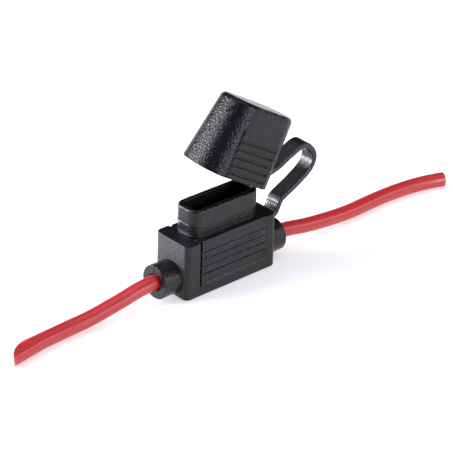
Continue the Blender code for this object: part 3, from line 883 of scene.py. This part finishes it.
# Distances below the grip's top, and how deep the tool cuts there.
CAP_GRIP_RUN_OUT = ((1.0, 0.15), (0.0, 0.005))
# Points of a short curved line on the cap's left end.
CAP_MARK = (
    (-11.35, -1.2, 29.9),
    (-11.2, -1.6, 30.44),
    (-11.02, -1.93, 31.35),
    (-10.62, -2.81, 32.19),
)
CAP_MARK_RADIUS, CAP_MARK_SIDES = 0.16, 8


def cap_face(side, rise, depth):
    """Point under one face of the cap, as a place across it and a height."""
    return side * (CAP_WIDTH / 2 - CAP_DRAFT * rise / CAP_HEIGHT - depth), CAP_RIM + rise


def cap_grip(side):
    """Tool for one face of the cap: a channel at the left end, then teeth whose lips face its closed end."""
    run = CAP_GRIP_LIP + TOOL_OVERLAP
    saw = [(CAP_GRIP_LIP - h, depth) for h, depth in teeth(0.0, CAP_GRIP_PITCH, CAP_GRIP_COUNT, run)][::-1]
    top = [(CAP_GRIP_LIP + GROOVE_HEIGHT + TOOTH_EDGE, TOOTH_DEPTH)]
    top += [(CAP_GRIP_TOP - below, depth) for below, depth in CAP_GRIP_RUN_OUT]
    top += [(CAP_GRIP_TOP + CAP_GRIP_CLOSE, -CAP_GRIP_PROUD)]
    points = [(-TOOL_OVERLAP, -CAP_GRIP_PROUD), *saw, *top]
    tooth = CAP_GRIP_START + CAP_GRIP_CHANNEL
    stations = [(CAP_GRIP_START, 0, 1), (tooth, 0, 1)]
    stations += [(tooth + past, rise, 1) for past, rise in CAP_GRIP_RUN_IN]
    stations += [(CAP_GRIP_END - CAP_GRIP_FADE, 1, 1), (CAP_GRIP_END, 1, LEAST_FADE)]
    sections = []
    for x, rise, fade in stations:
        depths = [d if d < 0 else (GROOVE_DEPTH - (GROOVE_DEPTH - d) * rise) * fade for _, d in points]
        sections.append([(x, *cap_face(side, height, d)) for (height, _), d in zip(points, depths)])
    return sections


def cap_mark():
    """Groove left by an insert of the tool, near the cap's closed end."""
    route = [Vector(point) for point in swung([CAP_MARK])[0]]
    return [tube_ring(route, i, CAP_MARK_RADIUS, CAP_MARK_SIDES) for i in range(len(route))]


cap = solid_from(swung(cap_sections()), "cap_shell", cap_nylon)
combine(cap, solid_from(cap_mark(), "mark", cap_nylon), "DIFFERENCE")
combine(cap, solid_from(swung(cavity_sections()), "cavity", smooth_nylon), "DIFFERENCE")
for side in (-1, 1):
    combine(cap, solid_from(swung(cap_grip(side)), "grip", cap_nylon), "DIFFERENCE")
finish_moulding(cap, MOULDING_SHARP)
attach(cap, "lid")
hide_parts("cap")
print("cap has", len(cap.data.polygons), "faces")

# %% [markdown]
# ## Strap
#
# The strap is a flat band that grows out of the block's end and out of the cap. A flat plane bent by a
# modifier would lose its thickness in the loop, so a rounded strip is swept along a route instead. It turns
# evenly from one end's direction to the other's and swells where it joins.

# %% Strap
STRAP_WIDTH, STRAP_THICKNESS, STRAP_EDGE = 4.4, 1.4, 0.3
STRAP_EDGE_STEPS, STRAP_STEP, STRAP_SHARP = 4, 0.4, 60.0
STRAP_ROOT = Vector((14.75, 0.0, 10.9))
STRAP_TIP_CLOSED = Vector((11.55, 0.0, 17.25))
# Places along the loop in the upright plane through the leads, as X and Z.
STRAP_LOOP = (
    (18.0, 12.0),
    (19.2, 13.7),
    (20.4, 15.6),
    (25.75, 18.3),
    (30.2, 21.35),
    (31.15, 25.0),
    (27.9, 28.4),
    (23.2, 27.1),
    (18.5, 25.0),
)
ROOT_FLARE, ROOT_REACH = 0.5, 0.8


def strip_outline(width, thickness):
    """Rounded cross-section of the strap, as places across it and through it."""
    return [(x, y) for x, y, _ in rounded_outline(width, thickness, STRAP_EDGE, 0.0, STRAP_EDGE_STEPS)]


def make_strap():
    """Band from the block's end round the loop to the cap, and its length in millimetres."""
    tip = HINGE + SWING @ (STRAP_TIP_CLOSED - HINGE)
    loop = [STRAP_ROOT, *(Vector((x, 0.0, z)) for x, z in STRAP_LOOP), tip]
    route = smooth_route(loop, STRAP_STEP)
    length = sum((b - a).length for a, b in zip(route, route[1:]))
    sections = []
    run = 0.0
    for i, middle in enumerate(route):
        ahead = (route[min(i + 1, len(route) - 1)] - route[max(i - 1, 0)]).normalized()
        run += (middle - route[i - 1]).length if i else 0.0
        turn = Matrix.Rotation(OPEN_ANGLE * i / (len(route) - 1), 3, HINGE_AXIS)
        across = turn @ Vector((0.0, 1.0, 0.0))
        across = (across - ahead * across.dot(ahead)).normalized()
        over = ahead.cross(across)
        end = min(run, length - run)
        flare = ROOT_FLARE * math.exp(-((end / ROOT_REACH) ** 2))
        strip = strip_outline(STRAP_WIDTH + flare, STRAP_THICKNESS + flare)
        sections.append([middle + across * x + over * y for x, y in strip])
    return solid_from(sections, "strap_band", strap_nylon), length


strap, strap_length = make_strap()
finish_moulding(strap, STRAP_SHARP)
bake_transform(strap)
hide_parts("strap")
print("strap is", round(strap_length, 1), "mm long")

# %% [markdown]
# ## Terminals and conductors
#
# The terminals hide in the block and only glint at the bottom of the pocket, and the conductors are held in
# their crimps. They could be modelled again with finer folds, but nobody would see them, so the frame's own
# solids are kept and given their metal.

# %% Terminals and conductors
for node, finish in (("terminal", tin), ("conductor", copper)):
    for end in ("left", "right"):
        part = frame["nodes"][f"{node}_{end}"]
        part.data.materials.clear()
        part.data.materials.append(finish)
        print(part.name, "is", finish.name)

# %% [markdown]
# ## Bench
#
# The object stands on a white bench that fades into a white background. More light would bleach the bench
# but also the object. So the bench glows a little, but only for rays from the camera and in reflections.
# Light Path tells which rays those are, and the glow adds no diffuse light to the object.

# %% Bench
BENCH_SIZE = 6.0
BENCH_GLOW = 0.4
BENCH_WHITE = "#f4f4f4"
GLOW_WHITE = "#ffffff"


def white_bench():
    """White surface that glows a little for the camera and in reflections."""
    material, tree, output = new_material("white laminate bench")
    ray = add_node(tree, "ShaderNodeLightPath")
    seen = ray.outputs["Is Camera Ray"]
    for other in ("Is Glossy Ray", "Is Transmission Ray"):
        either = add_node(tree, "ShaderNodeMath", {"operation": "MAXIMUM"}, {0: seen, 1: ray.outputs[other]})
        seen = either.outputs["Value"]
    glow = add_node(tree, "ShaderNodeMath", {"operation": "MULTIPLY"}, {0: seen, 1: BENCH_GLOW})
    surface = add_node(
        tree,
        "ShaderNodeBsdfPrincipled",
        inputs={
            "Base Color": linear(BENCH_WHITE),
            "Roughness": 0.6,
            "Emission Color": linear(GLOW_WHITE),
            "Emission Strength": glow.outputs["Value"],
        },
    )
    tree.links.new(surface.outputs["BSDF"], output.inputs["Surface"])
    return material


shape = bmesh.new()
bmesh.ops.create_grid(shape, x_segments=1, y_segments=1, size=BENCH_SIZE / 2)
bench = object_from(shape, "bench", white_bench())
print("bench is", BENCH_SIZE, "m square")

# %% [markdown]
# ## Light
#
# Black plastic shows little but what it reflects, so its shape is drawn by softboxes. A large one overhead
# lights the bench evenly. Ones in front and at the front right put long soft reflections on the long faces,
# a low one behind on the left makes the end faces' grain sparkle, and a high one behind edges the cap and
# the strap. One sky image could do it all, but single lamps are easier to move. Flash light is slightly
# cool, and a dim grey world stands for the rest of the room.

# %% Softboxes
AIM = Vector((3.0, 0.0, 15.0)) * MM
FLASH_WHITE = "#f4f5ff"
ROOM_GREY = "#3c3c3e"


def softbox(name, turn, rise, distance, width, height, strength):
    """Lamp of a size in metres and a strength in watts per square metre, aimed at the holder.

    Its turn is from the left end towards the front, and its rise is upwards, both in degrees.
    """
    lamp = bpy.data.lights.new(name, "AREA")
    lamp.shape = "RECTANGLE"
    lamp.size = width
    lamp.size_y = height
    lamp.energy = strength * width * height
    lamp.color = linear(FLASH_WHITE)[:3]
    box = bpy.data.objects.new(name, lamp)
    a, e = math.radians(turn), math.radians(rise)
    direction = Vector((-math.cos(a) * math.cos(e), -math.sin(a) * math.cos(e), math.sin(e)))
    box.location = AIM + direction * distance
    box.rotation_euler = direction.to_track_quat("Z", "Y").to_euler()
    scene.collection.objects.link(box)
    print(name, "has", round(lamp.energy, 1), "W")


softbox("overhead softbox", turn=225, rise=86, distance=1.3, width=1.3, height=1.3, strength=4.5)
softbox("front softbox", turn=97, rise=17, distance=1.0, width=0.4, height=0.5, strength=36.0)
softbox("right softbox", turn=136, rise=21, distance=1.0, width=0.5, height=0.36, strength=12.0)
softbox("back left softbox", turn=310, rise=7.5, distance=1.0, width=0.45, height=0.26, strength=135.0)
softbox("high back softbox", turn=326, rise=37, distance=1.0, width=0.45, height=0.65, strength=28.0)
world = bpy.data.worlds.new("dim studio")
world.use_nodes = True
world.node_tree.nodes["Background"].inputs["Color"].default_value = linear(ROOM_GREY)
world.node_tree.nodes["Background"].inputs["Strength"].default_value = 1.0
scene.world = world
